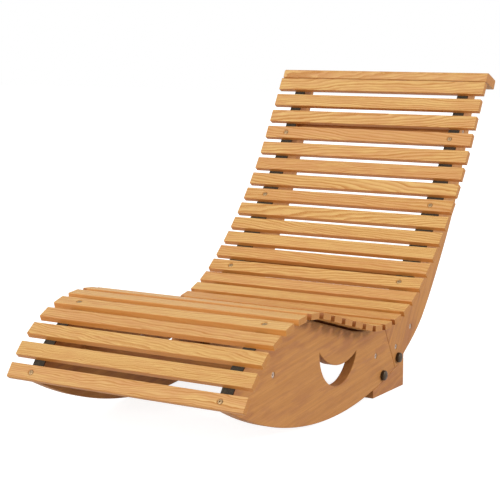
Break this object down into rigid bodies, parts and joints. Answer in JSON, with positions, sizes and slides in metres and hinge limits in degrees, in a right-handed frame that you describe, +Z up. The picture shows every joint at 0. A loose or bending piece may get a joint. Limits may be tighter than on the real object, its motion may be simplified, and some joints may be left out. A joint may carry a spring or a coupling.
{
  "type": "rocking chaise lounge",
  "caption": "Wooden rocking chaise lounge: a slatted mat on webbing straps over two curved rocker side frames with heel blocks, cross rails and a cap rail.",
  "frame": {"origin": "under the middle of the outline, at the height of the rockers' lowest line and the heel blocks' flat undersides", "axes": "+X to the right across the seat, seen from the foot end; +Y from the foot end to the head end; +Z up"},
  "size_m": [0.6, 1.2404, 0.7458],
  "materials": {
    "slat_wood": "oiled honey-coloured softwood, planed smooth, satin",
    "frame_wood": "stained tan softwood board, satin",
    "webbing": "near-black woven webbing, matt",
    "capped_steel": "black domed cap over the bolt head",
    "steel": "bare zinc-plated steel, satin"
  },
  "bodies": {
    "root": {"seat_slat_01": "slat_wood", "seat_slat_02": "slat_wood", "seat_slat_03": "slat_wood", "seat_slat_04": "slat_wood", "seat_slat_05": "slat_wood", "seat_slat_06": "slat_wood", "seat_slat_07": "slat_wood", "seat_slat_08": "slat_wood", "seat_slat_09": "slat_wood", "seat_slat_10": "slat_wood", "seat_slat_11": "slat_wood", "seat_slat_12": "slat_wood", "seat_slat_13": "slat_wood", "seat_slat_14": "slat_wood", "seat_slat_15": "slat_wood", "seat_slat_16": "slat_wood", "back_slat_01": "slat_wood", "back_slat_02": "slat_wood", "back_slat_03": "slat_wood", "back_slat_04": "slat_wood", "back_slat_05": "slat_wood", "back_slat_06": "slat_wood", "back_slat_07": "slat_wood", "back_slat_08": "slat_wood", "back_slat_09": "slat_wood", "back_slat_10": "slat_wood", "back_slat_11": "slat_wood", "back_slat_12": "slat_wood", "back_slat_13": "slat_wood", "back_slat_14": "slat_wood", "cap_rail": "slat_wood", "strap_left": "webbing", "strap_right": "webbing", "seat_board_left": "frame_wood", "seat_board_right": "frame_wood", "back_board_left": "frame_wood", "back_board_right": "frame_wood", "heel_block_left": "frame_wood", "heel_block_right": "frame_wood", "front_rail": "frame_wood", "rear_rail": "frame_wood", "lumbar_rail": "frame_wood", "top_rail": "frame_wood", "front_rail_bolt_left": "steel", "front_rail_bolt_right": "steel", "rear_rail_bolt_left": "steel", "rear_rail_bolt_right": "steel", "lumbar_rail_bolt_left": "steel", "lumbar_rail_bolt_right": "steel", "top_rail_bolt_left": "steel", "top_rail_bolt_right": "steel", "seat_joint_bolt_left": "steel", "seat_joint_bolt_right": "steel", "back_joint_bolt_left": "steel", "back_joint_bolt_right": "steel", "lower_capped_bolt_left": "capped_steel", "lower_capped_bolt_right": "capped_steel", "upper_capped_bolt_left": "capped_steel", "upper_capped_bolt_right": "capped_steel"}
  },
  "joints": []
}
